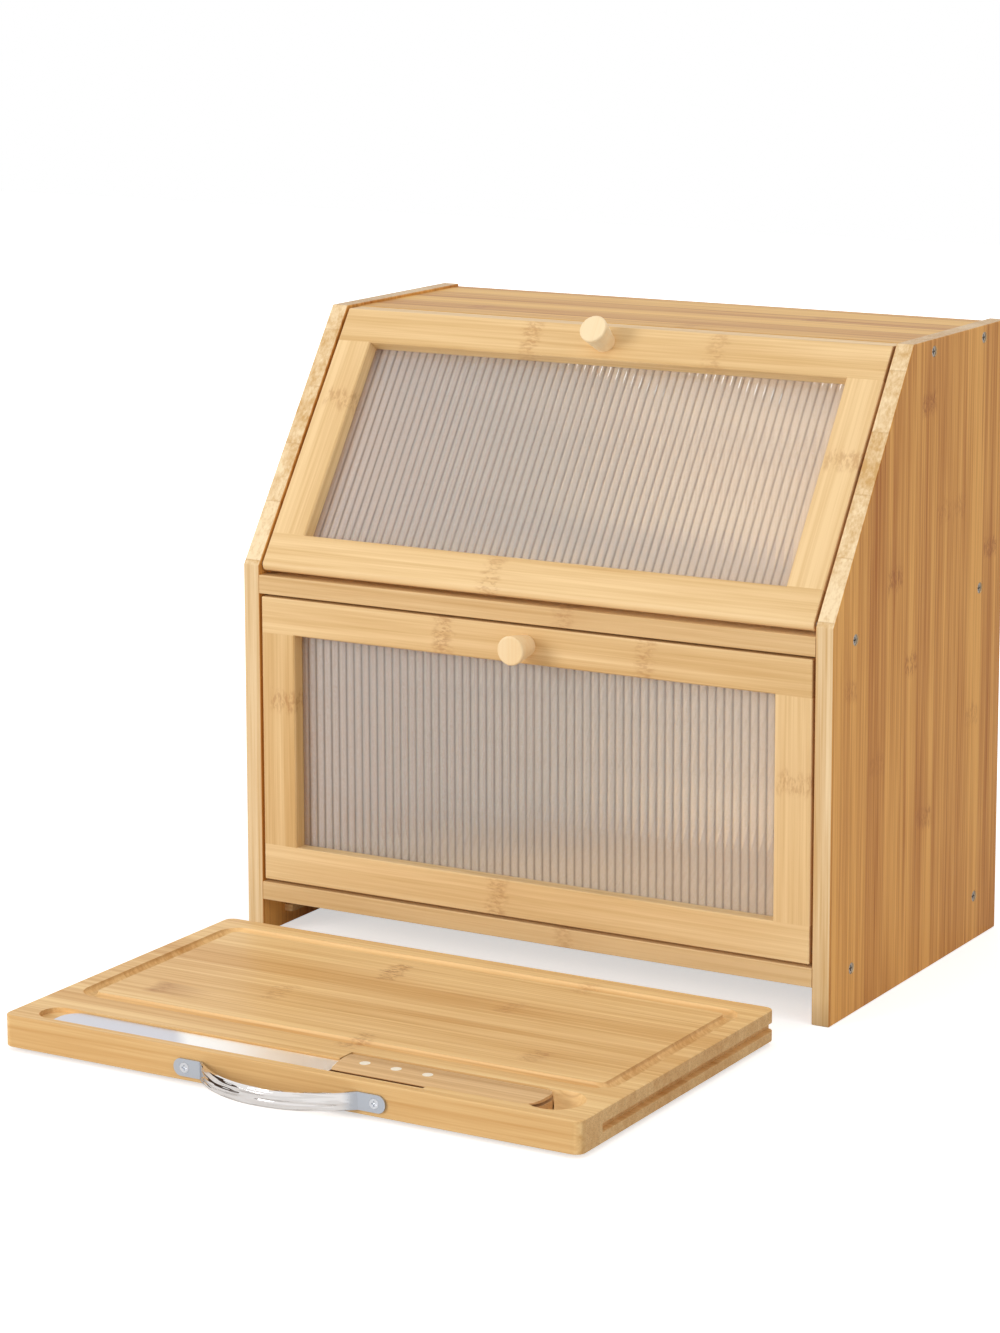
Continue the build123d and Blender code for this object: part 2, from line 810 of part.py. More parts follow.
# ------------------------------------------------------------------ one file for each piece
os.makedirs("parts", exist_ok=True)
for name, shape in pieces.items():
    export_step(Pos(0, -middle_y, 0) * shape, f"parts/{name}.step")
for door, pivot in pivots.items():
    print(door, "pivot: y", round(pivot.Y - middle_y, 4), "z", round(pivot.Z, 4))
print("middle_y", round(middle_y, 4))
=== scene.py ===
"""Finishes and studio for a bamboo bread box with reeded windows, a cutting board and a bread knife.

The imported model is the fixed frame: X across the box, Y from front to back, Z up, in metres.
"""

import math

import bpy
from mathutils import Matrix, Vector


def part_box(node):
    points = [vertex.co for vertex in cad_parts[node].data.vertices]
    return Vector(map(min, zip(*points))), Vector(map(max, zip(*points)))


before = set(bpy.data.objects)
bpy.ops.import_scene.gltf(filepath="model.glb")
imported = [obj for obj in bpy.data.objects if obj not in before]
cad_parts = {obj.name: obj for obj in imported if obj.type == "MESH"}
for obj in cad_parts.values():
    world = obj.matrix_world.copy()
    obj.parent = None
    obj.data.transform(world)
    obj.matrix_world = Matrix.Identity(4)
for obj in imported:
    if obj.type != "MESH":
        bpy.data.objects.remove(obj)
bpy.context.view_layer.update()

bl_info = {
    "name": "Bread box finishes",
    "version": (1, 0, 0),
    "blender": (4, 5, 0),
    "location": "3D View > Sidebar > Bread box",
    "description": "Bamboo, reeded acrylic and steel finishes for a bread box, with its studio",
    "category": "Material",
}

MM = 0.001

# The box's front edges lie this far behind the frame's origin.
FRONT_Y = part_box("side_panel_right")[0].y
# The slope of the sides' upper front: how far it goes back and up, where its foot is, and its
# lean from upright.
SLOPE_SETBACK = 104.0 * MM
SLOPE_RISE = 149.4 * MM
SLOPE_FOOT_HEIGHT = 233.2 * MM
SLOPE_ANGLE = math.atan2(SLOPE_SETBACK, SLOPE_RISE)

DOORS = ("upper_door", "lower_door")
# The reeds run up the panes at this pitch, from one edge to the other.
REED_PITCH = 5.5 * MM
REED_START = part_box("upper_door_pane")[0].x

STRIP_WIDTH = 23.0 * MM
BOARD_STRIP_WIDTH = 20.0 * MM
# Strips this wide leave no seam on a rail, a stile, a knob or the knife's scales.
SEAMLESS_WIDTH = 200.0 * MM
DOOR_STRIP_START = -100.0 * MM
KNIFE_STRIP_START = -300.0 * MM


# ------------------------------------------------------------------ settings a user would change
class BreadBoxBamboo(bpy.types.PropertyGroup):
    """Colours and sizes of the bamboo."""

    front_light: bpy.props.FloatVectorProperty(
        name="Front, light", description="Palest strips of the doors and front edges",
        subtype="COLOR", size=3, min=0, max=1, default=(0.875, 0.62, 0.325),
    )
    front_dark: bpy.props.FloatVectorProperty(
        name="Front, dark", description="Darkest streaks of the doors and front edges",
        subtype="COLOR", size=3, min=0, max=1, default=(0.62, 0.37, 0.14),
    )
    knob_light: bpy.props.FloatVectorProperty(
        name="Knobs", description="The turned knobs' pale wood",
        subtype="COLOR", size=3, min=0, max=1, default=(0.92, 0.72, 0.45),
    )
    face_light: bpy.props.FloatVectorProperty(
        name="Boards, light", description="Palest strips of the wide boards",
        subtype="COLOR", size=3, min=0, max=1, default=(0.80, 0.40, 0.10),
    )
    face_dark: bpy.props.FloatVectorProperty(
        name="Boards, dark", description="Darkest strips of the wide boards",
        subtype="COLOR", size=3, min=0, max=1, default=(0.43, 0.145, 0.022),
    )
    top_light: bpy.props.FloatVectorProperty(
        name="Top, light", description="Palest strips of the top",
        subtype="COLOR", size=3, min=0, max=1, default=(0.77, 0.45, 0.12),
    )
    top_dark: bpy.props.FloatVectorProperty(
        name="Top, dark", description="Darkest strips of the top",
        subtype="COLOR", size=3, min=0, max=1, default=(0.46, 0.185, 0.034),
    )
    board_light: bpy.props.FloatVectorProperty(
        name="Cutting board, light", description="Palest strips of the cutting board",
        subtype="COLOR", size=3, min=0, max=1, default=(0.93, 0.64, 0.30),
    )
    board_dark: bpy.props.FloatVectorProperty(
        name="Cutting board, dark", description="Darkest strips of the cutting board",
        subtype="COLOR", size=3, min=0, max=1, default=(0.65, 0.35, 0.115),
    )
    grip_light: bpy.props.FloatVectorProperty(
        name="Knife handle, light", description="Palest streaks of the knife's handle",
        subtype="COLOR", size=3, min=0, max=1, default=(0.78, 0.51, 0.255),
    )
    grip_dark: bpy.props.FloatVectorProperty(
        name="Knife handle, dark", description="Darkest streaks of the knife's handle",
        subtype="COLOR", size=3, min=0, max=1, default=(0.55, 0.31, 0.125),
    )
    knuckle: bpy.props.FloatVectorProperty(
        name="Knuckles", description="The brown marks where the cane had its joints",
        subtype="COLOR", size=3, min=0, max=1, default=(0.34, 0.105, 0.022),
    )
    strip_width: bpy.props.FloatProperty(
        name="Strip width", description="Width of one bamboo strip in the wide boards",
        subtype="DISTANCE", unit="LENGTH", min=0.005, max=0.05, default=STRIP_WIDTH,
    )


class BreadBoxPane(bpy.types.PropertyGroup):
    """Look of the reeded panes."""

    tint: bpy.props.FloatVectorProperty(
        name="Tint", description="Colour of the clear plastic",
        subtype="COLOR", size=3, min=0, max=1, default=(0.99, 0.97, 0.91),
    )
    haze: bpy.props.FloatProperty(
        name="Haze", description="How much the pane blurs what lies behind it",
        subtype="FACTOR", min=0, max=1, default=0.05,
    )
    clearness: bpy.props.FloatProperty(
        name="Clearness", description="How much of the light goes through the pane",
        subtype="FACTOR", min=0, max=1, default=0.80,
    )
    # Painted shade: how dark the valleys between the reeds are painted, for the lines that refraction
    # draws there.
    reed_painted_shade: bpy.props.FloatProperty(
        name="Reed lines", description="How dark the lines between the reeds are",
        subtype="FACTOR", min=0, max=1, default=0.62,
    )


class BreadBoxSteel(bpy.types.PropertyGroup):
    """Colours of the knife's blade and the strap handle."""

    blade_satin: bpy.props.FloatVectorProperty(
        name="Blade, satin", description="The blade's satin length",
        subtype="COLOR", size=3, min=0, max=1, default=(0.66, 0.66, 0.71),
    )
    # A painted reflection: the near white of the blade's length in front of its handle, which is as
    # satin as the rest.
    blade_painted_sheen: bpy.props.FloatVectorProperty(
        name="Blade, polished", description="The blade's polished length, in front of its handle",
        subtype="COLOR", size=3, min=0, max=1, default=(1.0, 0.99, 0.96),
    )
    strap_bow: bpy.props.FloatVectorProperty(
        name="Strap, bow", description="The strap handle's polished bow",
        subtype="COLOR", size=3, min=0, max=1, default=(0.82, 0.79, 0.77),
    )
    strap_feet: bpy.props.FloatVectorProperty(
        name="Strap, feet", description="The strap handle's brushed feet",
        subtype="COLOR", size=3, min=0, max=1, default=(0.50, 0.53, 0.58),
    )


class BreadBoxStudio(bpy.types.PropertyGroup):
    """Light and camera."""

    azimuth: bpy.props.FloatProperty(
        name="Azimuth", description="How far the camera stands round to the right",
        subtype="ANGLE", default=math.radians(30.34),
    )
    pitch: bpy.props.FloatProperty(
        name="Pitch", description="How far the camera looks down",
        subtype="ANGLE", default=math.radians(9.90),
    )
    roll: bpy.props.FloatProperty(
        name="Roll", description="Turn of the camera about its own axis",
        subtype="ANGLE", default=math.radians(-0.16),
    )
    place: bpy.props.FloatVectorProperty(
        name="Place", description="Where the camera stands",
        subtype="TRANSLATION", unit="LENGTH", size=3, default=(1.1097, -1.9003, 0.6740),
    )
    lens: bpy.props.FloatProperty(
        name="Lens", description="Focal length for a 36 mm film", min=20, max=300, default=103.98,
    )
    film_rise: bpy.props.FloatProperty(
        name="Film rise", description="Shift of the picture, as in the photograph",
        min=-0.2, max=0.2, default=-0.12,
    )
    world_level: bpy.props.FloatProperty(
        name="Room light", description="Strength of the light from all round", min=0, default=0.62,
    )
    key_level: bpy.props.FloatProperty(
        name="Key light", description="Power of the large lamp at the front left",
        unit="POWER", min=0, default=52.0,
    )
    fill_level: bpy.props.FloatProperty(
        name="Fill light", description="Power of the lamp at the right",
        unit="POWER", min=0, default=9.0,
    )
    top_level: bpy.props.FloatProperty(
        name="Top light", description="Power of the lamp overhead", unit="POWER", min=0, default=10.5,
    )


# ------------------------------------------------------------------ node helpers
def set_inputs(node, inputs):
    """Gives a node's inputs, by name or number, a value or a link from a socket."""
    for name, value in inputs.items():
        if isinstance(value, bpy.types.NodeSocket):
            node.id_data.links.new(value, node.inputs[name])
        else:
            node.inputs[name].default_value = value
    return node


def add(tree, kind, inputs=None, **settings):
    """A new node with its settings and inputs."""
    node = tree.nodes.new("ShaderNode" + kind)
    for name, value in settings.items():
        setattr(node, name, value)
    return set_inputs(node, inputs or {})


def calc(tree, operation, *values, clamp=False):
    """A Math node's result."""
    node = add(tree, "Math", dict(enumerate(values)), operation=operation, use_clamp=clamp)
    return node.outputs[0]


def centred(tree, value):
    """A pattern that runs from 0 to 1, carried to -0.5 to 0.5."""
    return calc(tree, "SUBTRACT", value, 0.5)


def ramp(tree, value, low, high, to_low=0.0, to_high=1.0):
    """A value carried smoothly from one range to another."""
    node = add(
        tree, "MapRange",
        {"Value": value, "From Min": low, "From Max": high, "To Min": to_low, "To Max": to_high},
        interpolation_type="SMOOTHSTEP",
    )
    return node.outputs["Result"]


def blend(tree, share, first, second):
    """Two colours mixed, with the share of the second."""
    node = add(tree, "Mix", data_type="RGBA")
    for name, value in (("Factor_Float", share), ("A_Color", first), ("B_Color", second)):
        socket = next(s for s in node.inputs if s.identifier == name)
        if isinstance(value, bpy.types.NodeSocket):
            tree.links.new(value, socket)
        else:
            socket.default_value = value
    return next(s for s in node.outputs if s.identifier == "Result_Color")


def stretched(tree, vector, along, across, through):
    """A vector with its three parts scaled."""
    node = add(tree, "VectorMath", {0: vector, 1: (along, across, through)}, operation="MULTIPLY")
    return node.outputs[0]


def noise(tree, vector, scale=1.0, detail=3.0, rough=0.55, warp=0.0):
    """A noise pattern's value."""
    node = add(
        tree, "TexNoise",
        {"Vector": vector, "Scale": scale, "Detail": detail, "Roughness": rough, "Distortion": warp},
    )
    return node.outputs["Fac"]


def new_group(name, inputs, outputs):
    """An empty shader node group with its sockets, and its two end nodes."""
    tree = bpy.data.node_groups.new(name, "ShaderNodeTree")
    for label, kind, default in inputs:
        socket = tree.interface.new_socket(name=label, in_out="INPUT", socket_type="NodeSocket" + kind)
        if default is not None:
            socket.default_value = default
    for label, kind in outputs:
        tree.interface.new_socket(name=label, in_out="OUTPUT", socket_type="NodeSocket" + kind)
    return tree, tree.nodes.new("NodeGroupInput").outputs, tree.nodes.new("NodeGroupOutput")


def use_group(tree, group, inputs):
    """A node group placed in a material or another group."""
    node = tree.nodes.new("ShaderNodeGroup")
    node.node_tree = group
    return set_inputs(node, inputs).outputs


# ------------------------------------------------------------------ node groups
# The grain's patterns: changes per metre along, across and through the board, detail, roughness,
# and how strongly each tones the wood.
GRAIN_PATTERNS = {
    "fibre": ((8, 520, 520), 3.0, 0.65, 1.5),
    "streak": ((2.6, 170, 170), 3.0, 0.6, 1.6),
    "broad": ((2.0, 42, 42), 2.0, 0.5, 1.0),
    "cloud": ((7, 16, 16), 2.0, 0.5, 0.35),
}
# How far the strips differ in tone, and the share of dark where the patterns are even.
STRIP_TONES = 0.55
EVEN_TONE = 0.42
# How far along the grain and through the board the strips' streaks are taken apart, in metres.
STRIP_SHIFT_ALONG = 7.0
STRIP_SHIFT_THROUGH = 3.0
SEAM_WIDTH = 0.5 * MM
SEAM_SHARE = 0.22
SEAM_COLOUR = (0.42, 0.20, 0.06, 1)


def bamboo_grain_group():
    """Strips of bamboo side by side, each with its own tone, streaked along the grain.

    The vector runs along the grain, across the strips and through the board, in metres.
    """
    tree, given, result = new_group(
        "Bamboo grain",
        [
            ("Vector", "Vector", None),
            ("Strip Width", "Float", STRIP_WIDTH),
            ("Strip Start", "Float", 0.0),
            ("Seed", "Float", 0.0),
            ("Light", "Color", (0.9, 0.64, 0.33, 1)),
            ("Dark", "Color", (0.7, 0.4, 0.15, 1)),
            ("Contrast", "Float", 1.0),
        ],
        [("Color", "Color"), ("Roughness", "Float"), ("Height", "Float")],
    )
    vector = given["Vector"]
    parts = add(tree, "SeparateXYZ", {0: vector}).outputs
    across = calc(tree, "SUBTRACT", parts[1], given["Strip Start"])
    across = calc(tree, "DIVIDE", across, given["Strip Width"])
    number = calc(tree, "FLOOR", across)
    number = calc(tree, "ADD", number, given["Seed"])
    strip = add(tree, "TexWhiteNoise", {"W": number}, noise_dimensions="1D").outputs["Value"]
    # Each strip takes its streaks from its own place in the noise. Clouds run across the strips.
    shift = add(
        tree, "CombineXYZ",
        {0: calc(tree, "MULTIPLY", strip, STRIP_SHIFT_ALONG),
         2: calc(tree, "MULTIPLY", strip, STRIP_SHIFT_THROUGH)},
    )
    moved = add(tree, "VectorMath", {0: vector, 1: shift.outputs[0]}, operation="ADD").outputs[0]
    tone = calc(tree, "MULTIPLY", centred(tree, strip), STRIP_TONES)
    patterns = {}
    for name, (changes, detail, rough, strength) in GRAIN_PATTERNS.items():
        source = vector if name == "cloud" else moved
        patterns[name] = noise(tree, stretched(tree, source, *changes), detail=detail, rough=rough)
        tone = calc(tree, "MULTIPLY_ADD", centred(tree, patterns[name]), strength, tone)
    tone = calc(tree, "MULTIPLY_ADD", tone, given["Contrast"], EVEN_TONE, clamp=True)
    colour = blend(tree, tone, given["Light"], given["Dark"])

    inside = calc(tree, "FRACT", across)
    edge = calc(tree, "MINIMUM", inside, calc(tree, "SUBTRACT", 1.0, inside))
    seam = ramp(tree, calc(tree, "MULTIPLY", edge, given["Strip Width"]), 0.0, SEAM_WIDTH, 1.0, 0.0)
    colour = blend(tree, calc(tree, "MULTIPLY", seam, SEAM_SHARE), colour, SEAM_COLOUR)

    # Fibres and streaks stand up, and seams lie low. The high fibres are a little rougher.
    fibre, streak = patterns["fibre"], patterns["streak"]
    height = calc(tree, "MULTIPLY_ADD", fibre, 0.6, calc(tree, "MULTIPLY", streak, 0.5))
    height = calc(tree, "MULTIPLY_ADD", seam, -0.5, height)
    tree.links.new(colour, result.inputs["Color"])
    tree.links.new(calc(tree, "MULTIPLY_ADD", fibre, 0.18, 0.34), result.inputs["Roughness"])
    tree.links.new(height, result.inputs["Height"])
    return tree


# A knuckle's outline wanders this far from its straight form, along and across the grain.
KNUCKLE_WANDER_ALONG = 14.0 * MM
KNUCKLE_WANDER_ACROSS = 9.0 * MM
# Its mottling is whole up to this far from the joint, and gone at the second distance.
KNUCKLE_BAND = (3.0 * MM, 9.0 * MM)
# Two thin lines, one on each side of the joint: their place, their half width and their share.
KNUCKLE_LINE_PLACE = 3.0 * MM
KNUCKLE_LINE_WIDTH = 1.3 * MM
KNUCKLE_LINE_SHARE = 0.08
# How strongly the marks of a knuckle of strength one cover the wood.
KNUCKLE_COVER = 0.6
# The stain starts below the joint, is strongest at it and fades out above it.
STAIN_START = -9.0 * MM
STAIN_END = 40.0 * MM
STAIN_COVER = 0.7


def knuckle_group():
    """One cane joint: a mottled brown band across a strip, with a stain that fades along the grain."""
    tree, given, result = new_group(
        "Bamboo knuckle",
        [
            ("Vector", "Vector", None),
            ("Color", "Color", (0.8, 0.5, 0.2, 1)),
            ("Knuckle", "Color", (0.33, 0.13, 0.035, 1)),
            ("Along", "Float", 0.0),
            ("Across", "Float", 0.0),
            ("Half Width", "Float", 11.0 * MM),
            ("Strength", "Float", 1.0),
            ("Stain", "Float", 0.3),
        ],
        [("Color", "Color")],
    )
    vector = given["Vector"]
    parts = add(tree, "SeparateXYZ", {0: vector}).outputs
    wander = centred(tree, noise(tree, stretched(tree, vector, 30, 160, 160), detail=2.0))
    along = calc(tree, "SUBTRACT", parts[0], given["Along"])
    along = calc(tree, "MULTIPLY_ADD", wander, KNUCKLE_WANDER_ALONG, along)
    distance = calc(tree, "ABSOLUTE", along)
    across = calc(tree, "ABSOLUTE", calc(tree, "SUBTRACT", parts[1], given["Across"]))
    beyond = calc(tree, "SUBTRACT", across, given["Half Width"])
    ragged = calc(tree, "MULTIPLY_ADD", wander, -KNUCKLE_WANDER_ACROSS, beyond)
    inside = ramp(tree, ragged, -3.0 * MM, 1.0 * MM, 1.0, 0.0)

    # The mottling is finer across the grain than along it.
    flecks = noise(tree, stretched(tree, vector, 210, 520, 520), rough=0.65, warp=0.4)
    mottle = ramp(tree, flecks, 0.42, 0.60)
    band = ramp(tree, distance, *KNUCKLE_BAND, 1.0, 0.0)
    beside = calc(tree, "ABSOLUTE", calc(tree, "SUBTRACT", distance, KNUCKLE_LINE_PLACE))
    lines = ramp(tree, beside, 0.0, KNUCKLE_LINE_WIDTH, KNUCKLE_LINE_SHARE, 0.0)
    marks = calc(tree, "MULTIPLY_ADD", band, mottle, lines)

    before = ramp(tree, along, STAIN_START, 0.0)
    after = ramp(tree, along, 0.0, STAIN_END, STAIN_COVER, 0.0)
    stain = calc(tree, "MULTIPLY", calc(tree, "MULTIPLY", after, before), given["Stain"])
    cover = calc(tree, "MULTIPLY", given["Strength"], KNUCKLE_COVER)
    share = calc(tree, "MULTIPLY_ADD", marks, cover, stain)
    share = calc(tree, "MULTIPLY", share, inside, clamp=True)
    tree.links.new(blend(tree, share, given["Color"], given["Knuckle"]), result.inputs["Color"])
    return tree


# A sawn end's own colour and the share of it, and the colour and share of its fibres.
SAWN_COLOUR = (0.45, 0.24, 0.09, 1)
SAWN_SHARE = 0.42
CUT_FIBRE_COLOUR = (0.24, 0.11, 0.035, 1)
CUT_FIBRE_SHARE = 0.5
CUT_FIBRES_PER_METRE = 1400.0


def end_grain_group():
    """Sawn ends: a little darker, with the cut fibres as fine dots.

    Facing says how far a face looks along the grain.
    """
    tree, given, result = new_group(
        "Bamboo end grain",
        [
            ("Vector", "Vector", None),
            ("Color", "Color", (0.8, 0.5, 0.2, 1)),
            ("Facing", "Float", 0.0),
        ],
        [("Color", "Color")],
    )
    ends = ramp(tree, given["Facing"], 0.75, 0.95)
    fibres = stretched(tree, given["Vector"], 60, 1, 1)
    dots = add(tree, "TexVoronoi", {"Vector": fibres, "Scale": CUT_FIBRES_PER_METRE}, feature="F1")
    spots = ramp(tree, dots.outputs["Distance"], 0.18, 0.42, CUT_FIBRE_SHARE, 0.0)
    darker = blend(tree, SAWN_SHARE, given["Color"], SAWN_COLOUR)
    spotted = blend(tree, spots, darker, CUT_FIBRE_COLOUR)
    tree.links.new(blend(tree, ends, given["Color"], spotted), result.inputs["Color"])
    return tree


def brushed_group():
    """Fine lines along one direction of a metal, as a height and a change of roughness."""
    tree, given, result = new_group(
        "Brushed lines",
        [("Vector", "Vector", None), ("Roughness", "Float", 0.2), ("Spread", "Float", 0.1)],
        [("Roughness", "Float"), ("Height", "Float")],
    )
    lines = noise(tree, stretched(tree, given["Vector"], 40, 4200, 4200), rough=0.6)
    smudge = noise(tree, given["Vector"], 90.0, detail=2.0)
    # The roughness changes half with the lines and half with the smudges.
    change = calc(tree, "MULTIPLY_ADD", smudge, 0.5, calc(tree, "MULTIPLY", lines, 0.5))
    change = centred(tree, change)
    rough = calc(tree, "MULTIPLY_ADD", change, given["Spread"], given["Roughness"])
    tree.links.new(rough, result.inputs["Roughness"])
    tree.links.new(lines, result.inputs["Height"])
    return tree


# ------------------------------------------------------------------ materials
def new_material(name):
    """A material with a bare Principled shader, and its node tree."""
    material = bpy.data.materials.new(name)
    material.use_nodes = True
    tree = material.node_tree
    tree.nodes.clear()
    shader = add(tree, "BsdfPrincipled")
    output = add(tree, "OutputMaterial")
    tree.links.new(shader.outputs[0], output.inputs[0])
    return material, tree, shader


def wood_axes(tree, socket, turn, order):
    """Object coordinates, or normals, turned upright by an angle about X and put in grain order."""
    upright = add(tree, "Mapping", {"Vector": socket, "Rotation": (turn, 0, 0)}, vector_type="POINT")
    parts = add(tree, "SeparateXYZ", {0: upright.outputs[0]}).outputs
    chosen = {index: parts["xyz".index(letter)] for index, letter in enumerate(order)}
    return add(tree, "CombineXYZ", chosen).outputs[0]


def bamboo(name, order, light, dark, knuckle_colour, knuckles=(), *, width, seed, start=0.0,
           turn=0.0, contrast=1.0, edges=None, sawn_ends=True):
    """A lacquered bamboo board.

    Order names the axes along the grain, across the strips and through the board. Each knuckle is
    (along, across, half width, strength, stain) in millimetres and shares. Edges is the light and
    the dark colour of its narrow faces, where they differ from its wide ones.
    """
    material, tree, shader = new_material(name)
    coordinates = add(tree, "TexCoord").outputs
    vector = wood_axes(tree, coordinates["Object"], turn, order)
    normal = add(tree, "SeparateXYZ", {0: wood_axes(tree, coordinates["Normal"], turn, order)}).outputs
    light, dark = (*light, 1), (*dark, 1)
    if edges:
        narrow = ramp(tree, calc(tree, "ABSOLUTE", normal[2]), 0.4, 0.7, 1.0, 0.0)
        light = blend(tree, narrow, light, (*edges[0], 1))
        dark = blend(tree, narrow, dark, (*edges[1], 1))
    grain = use_group(
        tree, bpy.data.node_groups["Bamboo grain"],
        {"Vector": vector, "Strip Width": width, "Strip Start": start, "Seed": seed,
         "Light": light, "Dark": dark, "Contrast": contrast},
    )
    colour = grain["Color"]
    for along, across, half, strength, stain in knuckles:
        colour = use_group(
            tree, bpy.data.node_groups["Bamboo knuckle"],
            {"Vector": vector, "Color": colour, "Knuckle": (*knuckle_colour, 1),
             "Along": along * MM, "Across": across * MM, "Half Width": half * MM,
             "Strength": strength, "Stain": stain},
        )["Color"]
    if sawn_ends:
        colour = use_group(
            tree, bpy.data.node_groups["Bamboo end grain"],
            {"Vector": vector, "Color": colour, "Facing": calc(tree, "ABSOLUTE", normal[0])},
        )["Color"]
    bump = add(tree, "Bump", {"Height": grain["Height"], "Strength": 0.12, "Distance": 0.12 * MM})
    set_inputs(
        shader,
        {"Base Color": colour, "Roughness": grain["Roughness"], "Normal": bump.outputs[0],
         "Specular IOR Level": 0.14, "Coat Weight": 0.03, "Coat Roughness": 0.25},
    )
    return material


def metal(name, colour, roughness, spread, swell=None):
    """A steel finish with fine lines along X. Swell builds a height for its slow forms, in mm."""
    material, tree, shader = new_material(name)
    vector = add(tree, "TexCoord").outputs["Object"]
    lines = use_group(
        tree, bpy.data.node_groups["Brushed lines"],
        {"Vector": vector, "Roughness": roughness, "Spread": spread},
    )
    bump = add(tree, "Bump", {"Height": lines["Height"], "Strength": 0.02, "Distance": 0.02 * MM})
    if swell:
        form = add(tree, "Bump", {"Height": swell(tree, vector), "Strength": 1.0, "Distance": MM})
        set_inputs(bump, {"Normal": form.outputs[0]})
    set_inputs(
        shader,
        {"Base Color": (*colour, 1), "Metallic": 1.0, "Roughness": lines["Roughness"],
         "Normal": bump.outputs[0]},
    )
    return material


def finish(node, material):
    """Gives a CAD node its material."""
    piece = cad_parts[node]
    piece.data.materials.clear()
    piece.data.materials.append(material)


def shifted(places, along=0.0, across=0.0):
    """Knuckles moved from the box's own measures to the frame's, in millimetres."""
    return [(a + along, b + across, *rest) for a, b, *rest in places]


# ------------------------------------------------------------------ operators
class BREADBOX_OT_effects(bpy.types.Operator):
    """Build the node groups that the finishes share"""

    bl_idname = "breadbox.effects"
    bl_label = "Shared effects"

    def execute(self, context):
        for build in (bamboo_grain_group, knuckle_group, end_grain_group, brushed_group):
            build()
        return {"FINISHED"}


# Knuckles on the right side board: up the grain, from the front edge, in millimetres.
SIDE_KNUCKLES = [
    (345, 128, 11, 1.0, 0.30),
    (277, 151, 11, 0.45, 0.0),
    (277, 174, 11, 0.45, 0.0),
    (247, 82.5, 11, 0.8, 0.25),
    (245, 220.5, 11, 0.9, 0.18),
    (192, 24.5, 9, 0.5, 0.15),
    (193, 105.5, 11, 0.9, 0.05),
    (142, 59.5, 11, 0.45, 0.0),
    (144, 197.5, 10, 0.45, 0.0),
    (96, 128, 11, 0.6, 0.28),
]


class BREADBOX_OT_sides(bpy.types.Operator):
    """Finish the two side boards, with their grain upright"""

    bl_idname = "breadbox.sides"
    bl_label = "Side boards"

    def execute(self, context):
        look = context.scene.bread_box_bamboo
        material = bamboo(
            "bamboo_side", "zyx", look.face_light, look.face_dark, look.knuckle,
            shifted(SIDE_KNUCKLES, across=FRONT_Y / MM), width=look.strip_width,
            start=FRONT_Y + 2.0 * MM, seed=4.0, edges=(look.knob_light, look.front_dark),
        )
        for side in ("left", "right"):
            finish("side_panel_" + side, material)
        return {"FINISHED"}


# Knuckles on the cross boards: across the box, then from the front or, on the back, up from the
# floor, in millimetres.
TOP_KNUCKLES = [(-120, 150, 11, 0.5, 0.2), (40, 128, 11, 0.4, 0.1), (95, 195, 11, 0.5, 0.2)]
SHELF_KNUCKLES = [(25, 20, 30, 0.35, 0.1), (-95, 90, 11, 0.5, 0.2), (120, 160, 11, 0.5, 0.2)]
BACK_KNUCKLES = [(-90, 120, 11, 0.6, 0.2), (70, 210, 11, 0.6, 0.2), (-20, 300, 11, 0.6, 0.2)]


class BREADBOX_OT_cross_boards(bpy.types.Operator):
    """Finish the top, the shelves, the back, the runners and the stop strip"""

    bl_idname = "breadbox.cross_boards"
    bl_label = "Cross boards"

    def execute(self, context):
        look = context.scene.bread_box_bamboo
        depth = FRONT_Y / MM
        top = bamboo(
            "bamboo_top", "xyz", look.top_light, look.top_dark, look.knuckle,
            shifted(TOP_KNUCKLES, across=depth), width=look.strip_width, start=FRONT_Y, seed=11.0,
        )
        shelf = bamboo(
            "bamboo_shelf", "xyz", look.front_light, look.front_dark, look.knuckle,
            shifted(SHELF_KNUCKLES, across=depth), width=look.strip_width, start=FRONT_Y, seed=23.0,
        )
        back = bamboo(
            "bamboo_back", "xzy", look.front_light, look.front_dark, look.knuckle,
            BACK_KNUCKLES, width=look.strip_width, seed=31.0,
        )
        finish("top_panel", top)
        finish("back_panel", back)
        for node in ("middle_shelf", "bottom_shelf", "board_runner_left", "board_runner_right",
                     "door_stop_strip"):
            finish(node, shelf)
        return {"FINISHED"}


# Knuckles on the doors: across the box, then up from the floor or up the slope, in millimetres.
RAIL_KNUCKLES = {
    "upper_door": [(-52, 168, 13, 0.5, 0.05), (75, 168, 13, 0.35, 0.05), (-27, 11, 13, 0.5, 0.05)],
    "lower_door": [(-57, 203, 13, 0.6, 0.05), (80, 203, 13, 0.45, 0.05), (-20, 47, 13, 0.55, 0.05)],
}
STILE_KNUCKLES = {
    "upper_door": [(117, -170, 13, 0.5, 0.05), (105, 178, 13, 0.5, 0.05)],
    "lower_door": [(150, -170, 13, 0.55, 0.05), (140, 178, 13, 0.45, 0.05)],
}
DOOR_TURNS = {"upper_door": SLOPE_ANGLE, "lower_door": 0.0}


def up_the_door(door):
    """Where a door's own upright measure starts, in its turned axes, in millimetres."""
    if door == "lower_door":
        return 0.0
    return (FRONT_Y * math.sin(SLOPE_ANGLE) + SLOPE_FOOT_HEIGHT * math.cos(SLOPE_ANGLE)) / MM


